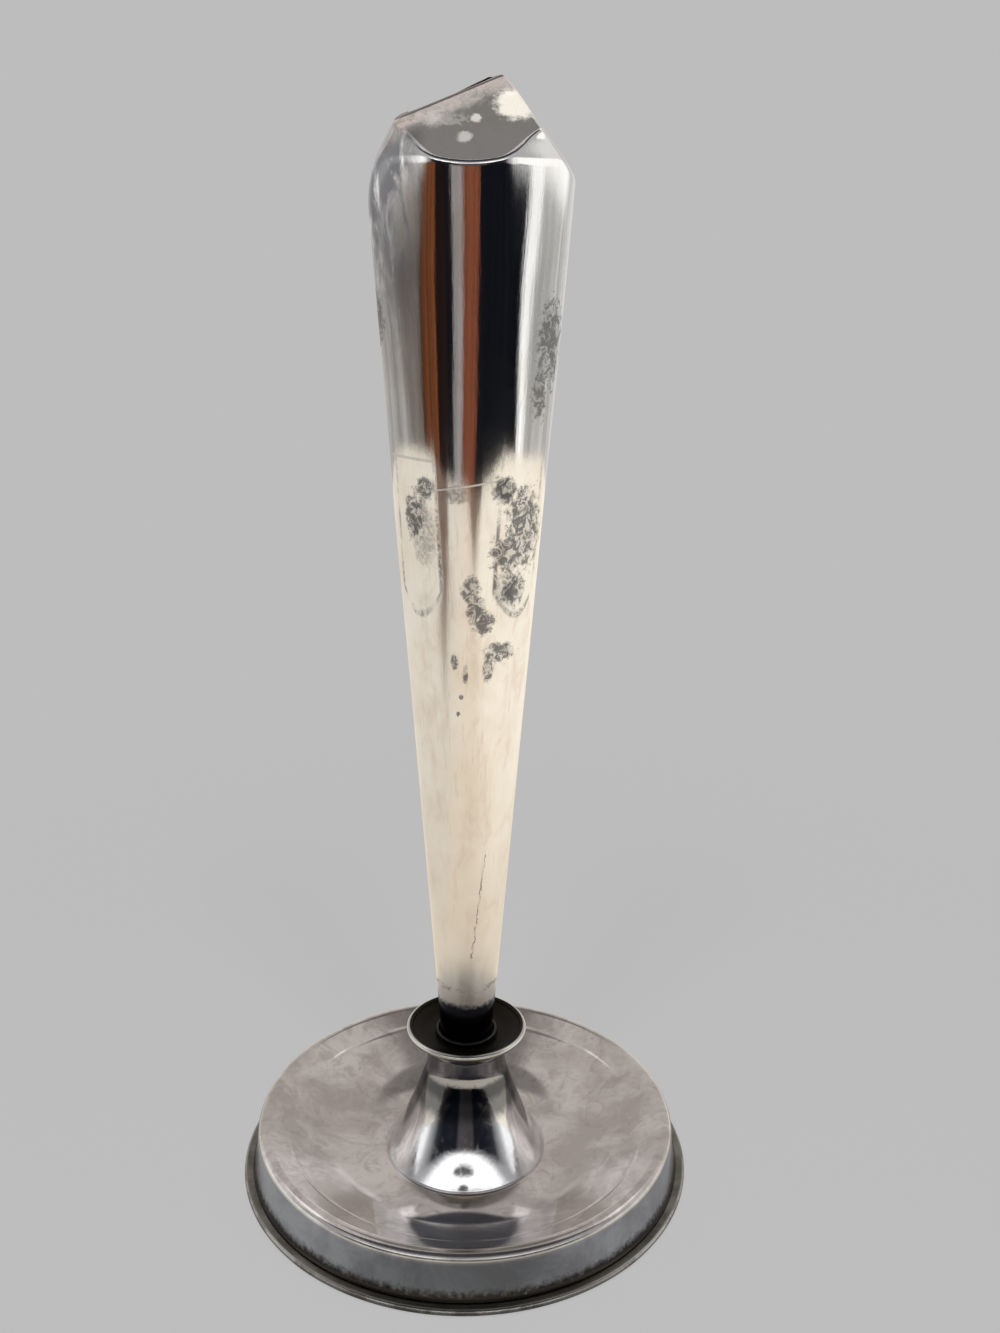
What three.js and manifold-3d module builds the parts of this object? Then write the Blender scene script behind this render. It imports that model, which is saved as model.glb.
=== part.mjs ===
// Bud vase: a tall four-sided bud with an oblique mouth, on a collar, a flared neck and a dished foot.
// Millimetres, +Z up, the felt pad rests on z = 0, the axis of the vase is the Z axis.
// Azimuth 0 faces the viewer along -Y and grows toward +X.
import * as THREE from 'three';
import { mergeVertices } from 'three/addons/utils/BufferGeometryUtils.js';
import Module from 'manifold-3d';

// Fits
const SEAT_GAP = 0.3;
const ROD_CLEARANCE = 0.3;

// Felt pad and base plate
const FLANGE_RADIUS = 44.5;
const FELT_THICKNESS = 0.6;
const FELT_PROUD = 0.3;
const PLATE_SHEET = 0.8;
const LIP_WIDTH = 1.5;

// Foot dish
const FLANGE_WIDTH = 1.7;
const SKIRT_LEAN = 1.2;
const SHOULDER_ROUND = 1.7;
const FOOT_SHEET = 1.0;
const DISH_DEPTH = 7.8;
const DISH_FLOOR_RADIUS = 22;

// Weight inside the foot
const WEIGHT_INNER_RADIUS = 21;
const WEIGHT_SKIRT_CLEARANCE = 1.2;

// Neck
const NECK_BASE_RADIUS = 15.6;
const NECK_TOP_RADIUS = 7.6;
const NECK_WAIST_RADIUS = 7.95;
const NECK_WAIST_HEIGHT = 18.9;
const NECK_HEIGHT = 22.6;
const NECK_SHEET = 0.9;
const NECK_LAP = 3;

// Collar and stem bead
const COLLAR_RADIUS = 11.8;
const COLLAR_SEAT_RADIUS = 7.6;
const COLLAR_THICKNESS = 2.8;
const COLLAR_DEPTH = 1.8;
const COLLAR_ROLL = 1.2;
const BEAD_SECTION = 0.8;

// Body
const BODY_BASE_RADIUS = 5;
const BODY_TOP_RADIUS = 17.25;
const BODY_BEND_HEIGHT = 161;
const BODY_WALL = 0.9;

// Four pressed flats between the lobes, half as curved as the wall, depths below it at the middle of a flat
const FLAT_CURVE = 0.5;
const FLAT_LENGTH = 73;
const FLAT_TOE_RUN = 6;
const FLAT_TOE_DEPTH = 0.45;
const FLAT_SHOULDER_DROP = 15.5;
const FLAT_SHOULDER_DEPTH = 0.55;
const FLAT_BROW_DEPTH = 0.95;
const FLAT_CROWN_RISE = 3.2;
const FLAT_CROWN_DEPTH = 2.1;
const FLAT_AZIMUTHS = [45, 135, 225, 315];

// Four leaves folded in over the lobes, drop of the fold below the bend height and slope of the leaf
const LEAVES = [
  { azimuth: 0, slope: 39, drop: 0 },
  { azimuth: 90, slope: 50, drop: 2 },
  { azimuth: 180, slope: 50, drop: 1 },
  { azimuth: 270, slope: 58, drop: 2.4 },
];

// Mouth, cut on one oblique plane that crosses the axis above the bend
const MOUTH_AZIMUTH = 291;
const MOUTH_SLOPE = 25;
const MOUTH_RISE = 11.6;

// Plug in the stem and the tie rod that pulls the stack together
const PLUG_HEIGHT = 8;
const PLUG_SOCKET_DEPTH = 6;
const ROD_RADIUS = 2;
const ROD_CHAMFER = 0.4;
const WASHER_RADIUS = 7;
const WASHER_THICKNESS = 0.8;
const NUT_ACROSS_FLATS = 7;
const NUT_HEIGHT = 3.2;
const NUT_LIFT = 0.6;
const RECESS_CLEARANCE = 1.2;

// Facets
const WIDE_SEGMENTS = 60;
const NARROW_SEGMENTS = 48;
const SMALL_SEGMENTS = 32;
const BODY_SEGMENTS = 96;
const DRUM_SEGMENTS = 80;
const CURVE_STEPS = 8;
const ROUND_STEPS = 5;

// Heights of the stack, each seat one gap above the piece below it
const plateBottom = FELT_THICKNESS + SEAT_GAP;
const plateTop = plateBottom + PLATE_SHEET;
const dishUnder = plateTop + SEAT_GAP;
const dishFloor = dishUnder + FOOT_SHEET;
const shoulderTop = dishFloor + DISH_DEPTH;
const neckBottom = dishFloor + SEAT_GAP;
const neckTop = neckBottom + NECK_HEIGHT;
const collarBottom = neckTop + SEAT_GAP;
const collarFloor = collarBottom + COLLAR_THICKNESS;
const collarRim = collarFloor + COLLAR_DEPTH;
const bodyBottom = collarFloor + SEAT_GAP;
const bodyBend = bodyBottom + BODY_BEND_HEIGHT;
const plugTop = bodyBottom + PLUG_HEIGHT;
const nutBottom = plateBottom + NUT_LIFT;
const nutTop = nutBottom + NUT_HEIGHT;
const washerBottom = nutTop + SEAT_GAP;
const washerTop = washerBottom + WASHER_THICKNESS;
const landUnder = washerTop + SEAT_GAP;
const landTop = landUnder + PLATE_SHEET;
const rodBottom = plateBottom;
const rodTop = bodyBottom + PLUG_SOCKET_DEPTH - SEAT_GAP;
const rodHole = ROD_RADIUS + ROD_CLEARANCE;

const wasm = await Module();
wasm.setup();

// Points along a quarter-like curve that bends toward its control point
function curve(from, control, to, steps) {
  const points = new THREE.QuadraticBezierCurve(
    new THREE.Vector2(...from),
    new THREE.Vector2(...control),
    new THREE.Vector2(...to),
  ).getPoints(steps);
  return points.map((point) => [point.x, point.y]);
}

// Points along a circular arc, angles in degrees
function arc(centre, radius, from, to, steps) {
  const points = [];
  for (let step = 0; step <= steps; step += 1) {
    const angle = THREE.MathUtils.degToRad(from + ((to - from) * step) / steps);
    points.push([centre[0] + radius * Math.cos(angle), centre[1] + radius * Math.sin(angle)]);
  }
  return points;
}

// A geometry with shared corner points only, so that its faces close
function weld(geometry) {
  const plain = geometry.clone();
  plain.deleteAttribute('normal');
  plain.deleteAttribute('uv');
  return mergeVertices(plain, 1e-5);
}

// A ring turned about the Z axis from a closed outline of [radius, height] pairs
function turn(outline, segments) {
  const loop = [...outline, outline[0]].map(([radius, height]) => new THREE.Vector2(radius, height));
  const geometry = new THREE.LatheGeometry(loop, segments);
  geometry.rotateX(Math.PI / 2);
  return weld(geometry);
}

// A capped cone or cylinder about the Z axis
function round(bottomRadius, topRadius, bottom, top, segments) {
  const geometry = new THREE.CylinderGeometry(topRadius, bottomRadius, top - bottom, segments);
  geometry.rotateX(Math.PI / 2);
  geometry.translate(0, 0, (bottom + top) / 2);
  return weld(geometry);
}

// A geometry as a solid that can be cut or joined
function solid(geometry) {
  const closed = weld(geometry);
  const mesh = new wasm.Mesh({
    numProp: 3,
    vertProperties: new Float32Array(closed.attributes.position.array),
    triVerts: new Uint32Array(closed.index.array),
  });
  mesh.merge();
  return new wasm.Manifold(mesh);
}

// A cut solid as a geometry again
function shell(cut) {
  const mesh = cut.getMesh();
  const geometry = new THREE.BufferGeometry();
  geometry.setAttribute('position', new THREE.BufferAttribute(mesh.vertProperties, 3));
  geometry.setIndex(new THREE.BufferAttribute(mesh.triVerts, 1));
  return geometry;
}

// Horizontal direction of an azimuth
function heading(azimuth) {
  const angle = THREE.MathUtils.degToRad(azimuth);
  return new THREE.Vector3(Math.sin(angle), -Math.cos(angle), 0);
}

// A block that lies on the upper side of a sloping plane through a point
function above(azimuth, slope, point) {
  const tilt = THREE.MathUtils.degToRad(slope);
  const normal = heading(azimuth).multiplyScalar(Math.sin(tilt));
  normal.z = Math.cos(tilt);
  const size = 6 * BODY_TOP_RADIUS;
  const geometry = new THREE.BoxGeometry(size, size, size);
  geometry.translate(0, 0, size / 2);
  geometry.applyQuaternion(new THREE.Quaternion().setFromUnitVectors(new THREE.Vector3(0, 0, 1), normal));
  geometry.translate(point.x, point.y, point.z);
  return solid(geometry);
}

// Radius of the round outer wall of the body at a height
function wallRadius(height) {
  const share = (height - bodyBottom) / BODY_BEND_HEIGHT;
  return BODY_BASE_RADIUS + (BODY_TOP_RADIUS - BODY_BASE_RADIUS) * share;
}

// A closed solid through level circles of [distance of the centre along an azimuth, radius, height]
function drum(azimuth, circles) {
  const along = heading(azimuth);
  const points = [];
  for (const [distance, radius, height] of circles) {
    for (let step = 0; step < DRUM_SEGMENTS; step += 1) {
      const angle = (2 * Math.PI * step) / DRUM_SEGMENTS;
      const x = along.x * distance + radius * Math.cos(angle);
      const y = along.y * distance + radius * Math.sin(angle);
      points.push(x, y, height);
    }
  }
  const faces = [];
  const top = (circles.length - 1) * DRUM_SEGMENTS;
  for (let low = 0; low < top; low += DRUM_SEGMENTS) {
    const high = low + DRUM_SEGMENTS;
    for (let step = 0; step < DRUM_SEGMENTS; step += 1) {
      const next = (step + 1) % DRUM_SEGMENTS;
      faces.push(low + step, low + next, high + next, low + step, high + next, high + step);
    }
  }
  for (let step = 1; step + 1 < DRUM_SEGMENTS; step += 1) {
    faces.push(0, step + 1, step, top, top + step, top + step + 1);
  }
  const geometry = new THREE.BufferGeometry();
  geometry.setAttribute('position', new THREE.Float32BufferAttribute(points, 3));
  geometry.setIndex(faces);
  return solid(geometry);
}

// All that lies behind one flat of the body, set inward from the outer wall
function behindFlat(azimuth, inset, bottom, top) {
  const tip = bodyBend - FLAT_LENGTH;
  const stations = [
    [bottom, -FLAT_TOE_DEPTH],
    [tip - FLAT_TOE_RUN, -FLAT_TOE_DEPTH],
    [tip + FLAT_TOE_RUN, FLAT_TOE_DEPTH],
    [bodyBend - FLAT_SHOULDER_DROP, FLAT_SHOULDER_DEPTH],
    [bodyBend, FLAT_BROW_DEPTH],
    [bodyBend + FLAT_CROWN_RISE, FLAT_CROWN_DEPTH],
    [top, FLAT_CROWN_DEPTH],
  ];
  const circles = stations.map(([height, depth]) => {
    const radius = wallRadius(height) / FLAT_CURVE;
    return [wallRadius(height) - depth - radius, radius - inset, height];
  });
  return drum(azimuth, circles);
}

// The bud as a full solid, set inward from the outer surface and still without its mouth
function bud(inset, bottom) {
  const top = bodyBend + 2 * BODY_TOP_RADIUS;
  let form = solid(round(wallRadius(bottom) - inset, wallRadius(top) - inset, bottom, top, BODY_SEGMENTS));
  for (const azimuth of FLAT_AZIMUTHS) {
    form = form.intersect(behindFlat(azimuth, inset, bottom - BODY_BASE_RADIUS / 2, top + BODY_TOP_RADIUS));
  }
  for (const { azimuth, slope, drop } of LEAVES) {
    const tilt = THREE.MathUtils.degToRad(slope);
    const fold = heading(azimuth).multiplyScalar(BODY_TOP_RADIUS);
    fold.z = bodyBend - drop - inset / Math.cos(tilt);
    form = form.subtract(above(azimuth, slope, fold));
  }
  return form;
}

function vaseBody() {
  const mouth = above(MOUTH_AZIMUTH, MOUTH_SLOPE, new THREE.Vector3(0, 0, bodyBend + MOUTH_RISE));
  const outer = bud(0, bodyBottom).subtract(mouth);
  const cavity = bud(BODY_WALL, bodyBottom - BODY_BASE_RADIUS);
  return shell(outer.subtract(cavity));
}

function bodyPlug() {
  const inside = BODY_WALL + SEAT_GAP;
  const plug = round(wallRadius(bodyBottom) - inside, wallRadius(plugTop) - inside, bodyBottom, plugTop, SMALL_SEGMENTS);
  const socketTop = bodyBottom + PLUG_SOCKET_DEPTH;
  const socket = round(rodHole, rodHole, bodyBottom - PLUG_HEIGHT, socketTop, SMALL_SEGMENTS);
  return shell(solid(plug).subtract(solid(socket)));
}

function stemBead() {
  const half = BEAD_SECTION / 2;
  const height = collarFloor + SEAT_GAP + half;
  const ring = wallRadius(height + half) + SEAT_GAP + half;
  return turn(arc([ring, height], half, 0, 360 - 45, 7), NARROW_SEGMENTS);
}

function collarDish() {
  const half = COLLAR_ROLL / 2;
  const bead = [COLLAR_RADIUS - half, collarRim - half];
  const under = curve(
    [COLLAR_SEAT_RADIUS, collarBottom],
    [COLLAR_SEAT_RADIUS + half, collarBottom + COLLAR_THICKNESS / 2],
    [bead[0], bead[1] - half],
    ROUND_STEPS,
  );
  const roll = arc(bead, half, -90, 180, 2 * ROUND_STEPS).slice(1);
  const well = curve(
    [bead[0] - half, bead[1]],
    [COLLAR_RADIUS - 2 * COLLAR_ROLL, collarFloor],
    [COLLAR_SEAT_RADIUS, collarFloor],
    ROUND_STEPS,
  ).slice(1);
  return turn([[rodHole, collarBottom], ...under, ...roll, ...well, [rodHole, collarFloor]], NARROW_SEGMENTS);
}

function neckCone() {
  const outer = curve(
    [NECK_BASE_RADIUS, neckBottom],
    [NECK_WAIST_RADIUS, neckBottom + NECK_WAIST_HEIGHT],
    [NECK_TOP_RADIUS, neckTop],
    CURVE_STEPS,
  );
  const inner = outer
    .map(([radius, height]) => [radius - NECK_SHEET, Math.min(height, neckTop - NECK_SHEET)])
    .reverse();
  return turn([...outer, [rodHole, neckTop], [rodHole, neckTop - NECK_SHEET], ...inner], NARROW_SEGMENTS);
}

// The hollow upper surface of the foot, from the rounded shoulder in to the floor, lowered by an offset
function dishLine(offset) {
  const skirtTop = FLANGE_RADIUS - FLANGE_WIDTH - SKIRT_LEAN;
  const centre = [skirtTop - SHOULDER_ROUND, shoulderTop - SHOULDER_ROUND];
  const slope = Math.atan2(DISH_DEPTH, centre[0] - DISH_FLOOR_RADIUS);
  const radius = SHOULDER_ROUND - offset;
  const turnEnd = 90 + THREE.MathUtils.radToDeg(slope);
  const shoulder = arc(centre, radius, 10, turnEnd, ROUND_STEPS);
  const start = shoulder[shoulder.length - 1];
  const floor = dishFloor - offset;
  const control = [start[0] - (start[1] - floor) / Math.tan(slope), floor];
  const end = [NECK_BASE_RADIUS + NECK_SHEET, floor];
  return [...shoulder, ...curve(start, control, end, CURVE_STEPS).slice(1)];
}

function footDish() {
  const skirtFoot = FLANGE_RADIUS - FLANGE_WIDTH;
  const hole = NECK_BASE_RADIUS - NECK_LAP;
  const outer = [[skirtFoot, dishUnder], ...dishLine(0), [hole, dishFloor]];
  const inner = [[skirtFoot - FOOT_SHEET, dishUnder], ...dishLine(FOOT_SHEET), [hole, dishUnder]].reverse();
  return turn([...outer, ...inner], WIDE_SEGMENTS);
}

function footWeight() {
  const lowered = dishLine(FOOT_SHEET + SEAT_GAP).filter(([radius]) => radius > WEIGHT_INNER_RADIUS);
  const outside = FLANGE_RADIUS - FLANGE_WIDTH - SKIRT_LEAN - FOOT_SHEET - WEIGHT_SKIRT_CLEARANCE;
  const top = lowered.filter(([radius]) => radius < outside);
  const [crest] = top;
  const tail = top[top.length - 1];
  const outline = [[tail[0], dishUnder], [outside, dishUnder], [outside, crest[1] - SEAT_GAP], ...top];
  return turn(outline, NARROW_SEGMENTS);
}

function basePlate() {
  const half = (plateTop - FELT_PROUD) / 2;
  const lip = FLANGE_RADIUS - LIP_WIDTH;
  const recess = WASHER_RADIUS + RECESS_CLEARANCE;
  const edge = arc([FLANGE_RADIUS - half, FELT_PROUD + half], half, -90, 90, ROUND_STEPS + 1);
  const outline = [
    [rodHole, landUnder],
    [recess, landUnder],
    [recess, plateBottom],
    [lip, plateBottom],
    [lip, FELT_PROUD],
    ...edge,
    [recess + PLATE_SHEET, plateTop],
    [recess + PLATE_SHEET, landTop],
    [rodHole, landTop],
  ];
  return turn(outline, WIDE_SEGMENTS);
}

function feltPad() {
  const radius = FLANGE_RADIUS - LIP_WIDTH - SEAT_GAP;
  return round(radius, radius, 0, FELT_THICKNESS, WIDE_SEGMENTS);
}

function tieRod() {
  const shaft = round(ROD_RADIUS, ROD_RADIUS, rodBottom + ROD_CHAMFER, rodTop - ROD_CHAMFER, SMALL_SEGMENTS);
  const tip = ROD_RADIUS - ROD_CHAMFER;
  const low = round(tip, ROD_RADIUS, rodBottom, rodBottom + ROD_CHAMFER, SMALL_SEGMENTS);
  const high = round(ROD_RADIUS, tip, rodTop - ROD_CHAMFER, rodTop, SMALL_SEGMENTS);
  return shell(solid(low).add(solid(shaft)).add(solid(high)));
}

function rodWasher() {
  const outline = [
    [rodHole, washerBottom],
    [WASHER_RADIUS, washerBottom],
    [WASHER_RADIUS, washerTop],
    [rodHole, washerTop],
  ];
  return turn(outline, SMALL_SEGMENTS);
}

function rodNut() {
  const corner = NUT_ACROSS_FLATS / 2 / Math.cos(Math.PI / 6);
  const hexagon = arc([0, 0], corner, 0, 300, 5).map(([x, y]) => new THREE.Vector2(x, y));
  const shape = new THREE.Shape(hexagon);
  shape.holes.push(new THREE.Path().absarc(0, 0, rodHole, 0, 2 * Math.PI, true));
  const geometry = new THREE.ExtrudeGeometry(shape, {
    depth: NUT_HEIGHT,
    bevelEnabled: false,
    curveSegments: SMALL_SEGMENTS,
  });
  geometry.translate(0, 0, nutBottom);
  return weld(geometry);
}

const silver = new THREE.MeshStandardMaterial({ color: 0xc9c3b8, roughness: 0.18, metalness: 1 });
const satinSilver = new THREE.MeshStandardMaterial({ color: 0xa8a09a, roughness: 0.38, metalness: 1 });
const darkSilver = new THREE.MeshStandardMaterial({ color: 0x6f6a60, roughness: 0.42, metalness: 1 });
const solder = new THREE.MeshStandardMaterial({ color: 0x4a4640, roughness: 0.5, metalness: 1 });
const brass = new THREE.MeshStandardMaterial({ color: 0xb08d4f, roughness: 0.4, metalness: 1 });
const steel = new THREE.MeshStandardMaterial({ color: 0x8b8d8f, roughness: 0.45, metalness: 1 });
const cement = new THREE.MeshStandardMaterial({ color: 0x9a958c, roughness: 0.95, metalness: 0 });
const felt = new THREE.MeshStandardMaterial({ color: 0x2f3a30, roughness: 1, metalness: 0 });

const vase = new THREE.Group();
vase.name = 'bud_vase';

// Add one finished piece to the vase under its own name
function place(name, geometry, material) {
  geometry.computeVertexNormals();
  const mesh = new THREE.Mesh(geometry, material);
  mesh.name = name;
  vase.add(mesh);
}

place('felt_pad', feltPad(), felt);
place('base_plate', basePlate(), darkSilver);
place('foot_weight', footWeight(), cement);
place('foot_dish', footDish(), satinSilver);
place('neck_cone', neckCone(), silver);
place('collar_dish', collarDish(), darkSilver);
place('stem_bead', stemBead(), solder);
place('vase_body', vaseBody(), silver);
place('body_plug', bodyPlug(), brass);
place('tie_rod', tieRod(), steel);
place('rod_washer', rodWasher(), steel);
place('rod_nut', rodNut(), steel);

export default vase;
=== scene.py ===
"""A tall bud vase of tarnished silver plate on a collar, a flared neck and a dished foot."""

import math

import bpy
import numpy as np
from mathutils import Matrix, Vector


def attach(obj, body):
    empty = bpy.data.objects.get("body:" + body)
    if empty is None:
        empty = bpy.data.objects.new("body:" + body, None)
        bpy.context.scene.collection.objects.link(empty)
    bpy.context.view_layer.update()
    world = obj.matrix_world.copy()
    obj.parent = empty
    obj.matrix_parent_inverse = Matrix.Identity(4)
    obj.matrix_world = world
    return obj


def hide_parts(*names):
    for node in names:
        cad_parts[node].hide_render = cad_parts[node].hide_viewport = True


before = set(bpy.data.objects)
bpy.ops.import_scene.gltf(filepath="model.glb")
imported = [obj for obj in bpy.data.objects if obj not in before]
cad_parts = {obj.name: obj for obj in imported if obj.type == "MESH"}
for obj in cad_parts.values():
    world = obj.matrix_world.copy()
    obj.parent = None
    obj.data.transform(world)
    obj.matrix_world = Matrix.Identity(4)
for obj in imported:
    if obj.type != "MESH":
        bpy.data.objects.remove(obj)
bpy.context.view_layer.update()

MM = 0.001

# Sizes in millimetres, as the solids have them
SEAT_GAP = 0.3
FLANGE_RADIUS = 44.5
FELT_THICKNESS = 0.6
FELT_PROUD = 0.3
PLATE_SHEET = 0.8
LIP_WIDTH = 1.5
FLANGE_WIDTH = 1.7
SKIRT_LEAN = 1.2
SHOULDER_ROUND = 1.7
FOOT_SHEET = 1.0
DISH_DEPTH = 7.8
NECK_BASE_RADIUS = 15.6
NECK_TOP_RADIUS = 7.6
NECK_HEIGHT = 22.6
NECK_SHEET = 0.9
NECK_LAP = 3.0
COLLAR_RADIUS = 11.8
COLLAR_SEAT_RADIUS = 7.6
COLLAR_THICKNESS = 2.8
COLLAR_DEPTH = 1.8
COLLAR_ROLL = 1.2
BEAD_SECTION = 0.8
BODY_BASE_RADIUS = 5.0
BODY_TOP_RADIUS = 17.25
BODY_BEND_HEIGHT = 161.0
BODY_WALL = 0.9
FLAT_CURVE = 0.5
FLAT_LENGTH = 73.0
FLAT_TOE_DEPTH = 0.45
FLAT_SHOULDER_DROP = 15.5
FLAT_SHOULDER_DEPTH = 0.55
FLAT_BROW_DEPTH = 0.95
FLAT_CROWN_RISE = 3.2
FLAT_CROWN_DEPTH = 2.1
FLAT_AZIMUTHS = (45, 135, 225, 315)
MOUTH_AZIMUTH = 291.0
ROD_HOLE = 2.3
RECESS_RADIUS = 8.2
LAND_UNDER = 6.1

# Only on the dressed vase: softer folds, a flatter mouth, a lean, tight seats, a spun dish, a flared neck
FLAT_EDGE = 0.3
FLAT_EASE = 1.2
TOE_RUN = 4.4
BROW_LIFT = 1.4
MOUTH_SLOPE = 22.0
MOUTH_RISE = 12.1
RIM_CREST = 13.9
RIM_TWIST = 0.02
RIM_EDGE = 0.14
RIM_SINK = 0.12
CURL_AZIMUTH = 90
CURL_RISE = 6.0
LEAF_CURL = 0.9
LEAN = 0.4
LEAN_FOOT = 40.0
LEAN_RUN = 150.0
WAVE_FOOT = 60.0
WAVE_RUN = 60.0
WAVE_LEAST_RADIUS = 4.0
SEAT_LINE = 0.06
SKIRT_SWEEP = 0.35
SKIRT_SWEEP_RISE = 1.6
SKIRT_TURN = 10
SPUN_FLOOR_RADIUS = 23.4
SPUN_BEND = 4.4
SPUN_BOW = 0.06
RING_RADIUS = 35.2
RING_DEPTH = 0.05
RING_HALF = 0.5
FLARE_RADIUS = 16.1

# Height above the foot of the neck, and the lean of its wall there in degrees
FLARE = ((0, 34), (1.7, 31.5), (5.7, 27.5), (10.7, 21), (17.7, 18), (20.2, 4), (22.6, 2))

# Azimuth, slope, drop of the fold and roundness of the fold of each leaf
LEAVES = (
    (0, 39, 0.0, 0.4),
    (90, 50, 1.7, 0.7),
    (180, 50, 1.0, 1.0),
    (270, 58, 1.6, 3.8),
)

# Waves of the hand-worked wall: size, number round it, pitch along it, phase
WAVES = (
    (0.030, 5, 9.0, 0.4),
    (0.028, 3, -14.0, 1.9),
    (0.018, 9, 23.0, 2.7),
    (0.020, 2, 31.0, 0.0),
)

# How finely the body is sampled
BODY_SEGMENTS = 288
WALL_ROWS = 110
BUD_ROWS = 96
INNER_BUD_ROWS = 40
INNER_WALL_ROWS = 50
KNEE_DROP = 9.0
RAY_REACH = 60.0
RAY_HALVINGS = 44
RIM_HALVINGS = 30
STEEPEST = 89

PLATE_BOTTOM = FELT_THICKNESS + SEAT_GAP
PLATE_TOP = PLATE_BOTTOM + PLATE_SHEET
DISH_UNDER = PLATE_TOP + SEAT_GAP
DISH_FLOOR = DISH_UNDER + FOOT_SHEET
SHOULDER_TOP = DISH_FLOOR + DISH_DEPTH
SKIRT_TOP_RADIUS = FLANGE_RADIUS - FLANGE_WIDTH - SKIRT_LEAN
NECK_BOTTOM = DISH_FLOOR + SEAT_GAP
NECK_TOP = NECK_BOTTOM + NECK_HEIGHT
COLLAR_BOTTOM = NECK_TOP + SEAT_GAP
COLLAR_FLOOR = COLLAR_BOTTOM + COLLAR_THICKNESS
COLLAR_RIM = COLLAR_FLOOR + COLLAR_DEPTH
BODY_BOTTOM = COLLAR_FLOOR + SEAT_GAP
BODY_BEND = BODY_BOTTOM + BODY_BEND_HEIGHT


# Mesh helpers

def new_piece(name, points, faces, sharp_angle=40):
    """A smooth mesh piece from points in millimetres."""
    mesh = bpy.data.meshes.new(name)
    mesh.from_pydata([tuple(p) for p in np.asarray(points) * MM], [], faces)
    mesh.validate()
    mesh.polygons.foreach_set("use_smooth", [True] * len(mesh.polygons))
    mesh.set_sharp_from_angle(angle=math.radians(sharp_angle))
    mesh.update()
    piece = bpy.data.objects.new(name, mesh)
    bpy.context.scene.collection.objects.link(piece)
    return piece


def loft(rows):
    """Points and outward faces of rings stacked one on the next, the last closing on the first."""
    count = len(rows[0])
    faces = []
    for row in range(len(rows)):
        low = row * count
        high = ((row + 1) % len(rows)) * count
        for i in range(count):
            j = (i + 1) % count
            faces.append((low + i, low + j, high + j, high + i))
    return np.concatenate(rows), faces


def turned(name, outline, segments, untrue=0.0):
    """A ring turned about Z from a closed outline of (radius, height) pairs, a hair out of true."""
    angle = np.linspace(0, 2 * math.pi, segments, endpoint=False)
    grow = 1 + untrue * (np.sin(2 * angle + 0.7) + 0.5 * np.sin(3 * angle + 2.1))
    x, y = grow * np.sin(angle), -grow * np.cos(angle)
    rows = []
    for radius, height in outline:
        rows.append(np.stack([radius * x, radius * y, np.full(segments, height)], 1))
    return new_piece(name, *loft(rows))


def curve(start, control, end, steps):
    """Points of a curve that bends toward its control point."""
    t = np.linspace(0, 1, steps + 1)[:, None]
    a, b, c = np.array(start), np.array(control), np.array(end)
    return [tuple(p) for p in (1 - t) ** 2 * a + 2 * t * (1 - t) * b + t**2 * c]


def arc(centre, radius, start, end, steps):
    """Points of a circular arc, angles in degrees."""
    angle = np.radians(np.linspace(start, end, steps + 1))
    return [(centre[0] + radius * math.cos(a), centre[1] + radius * math.sin(a)) for a in angle]


# Body

def smooth_max(a, b, reach):
    """The larger of two distances, rounded over a reach where they are near each other."""
    share = np.clip(0.5 + 0.5 * (a - b) / reach, 0, 1)
    return a * share + b * (1 - share) + reach * share * (1 - share)


def wall_radius(z):
    """Outer radius of the round wall."""
    return BODY_BASE_RADIUS + (BODY_TOP_RADIUS - BODY_BASE_RADIUS) * (z - BODY_BOTTOM) / BODY_BEND_HEIGHT


def flat_depth(z):
    """Depth of a pressed flat below the round wall at its middle, eased along its length."""
    tip = BODY_BEND - FLAT_LENGTH
    stations = (
        (tip - TOE_RUN, -FLAT_TOE_DEPTH),
        (tip + TOE_RUN, FLAT_TOE_DEPTH),
        (BODY_BEND - FLAT_SHOULDER_DROP, FLAT_SHOULDER_DEPTH),
        (BODY_BEND + BROW_LIFT, FLAT_BROW_DEPTH),
        (BODY_BEND + FLAT_CROWN_RISE, FLAT_CROWN_DEPTH),
    )
    heights, depths = zip(*stations)
    shifts = np.linspace(-FLAT_EASE, FLAT_EASE, 5)
    return sum(np.interp(z + shift, heights, depths) for shift in shifts) / len(shifts)


def heading(azimuth):
    """Direction of an azimuth in degrees, 0 facing -Y and growing toward +X."""
    a = math.radians(azimuth)
    return math.sin(a), -math.cos(a)


def body_field(x, y, z, inset):
    """Below zero inside the bud, set inward from its outer surface."""
    field = np.hypot(x, y) - (wall_radius(z) - inset)
    for azimuth in FLAT_AZIMUTHS:
        ex, ey = heading(azimuth)
        radius = wall_radius(z) / FLAT_CURVE
        back = radius - wall_radius(z) + flat_depth(z)
        flat = np.hypot(x + ex * back, y + ey * back) - (radius - inset)
        field = smooth_max(field, flat, FLAT_EDGE)
    for azimuth, slope, drop, soft in LEAVES:
        ex, ey = heading(azimuth)
        tilt = math.radians(slope)
        fold = BODY_BEND - drop - inset / math.cos(tilt)
        leaf = (z - fold) * math.cos(tilt) + (x * ex + y * ey - BODY_TOP_RADIUS) * math.sin(tilt)
        if azimuth == CURL_AZIMUTH:
            leaf = leaf - LEAF_CURL * np.clip((z - BODY_BEND - CURL_RISE) / CURL_RISE, 0, 1)
        field = smooth_max(field, leaf, soft)
    return field


def mouth_height(x, y, z):
    """Distance above the oblique mouth, a little twisted on its far side and level along its crest."""
    ex, ey = heading(MOUTH_AZIMUTH)
    tilt = math.radians(MOUTH_SLOPE)
    rise = BODY_BEND + MOUTH_RISE + RIM_TWIST * x * np.maximum(y, 0)
    slanted = (z - rise) * math.cos(tilt) + (x * ex + y * ey) * math.sin(tilt)
    return np.maximum(slanted, z - BODY_BEND - RIM_CREST)


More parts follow.
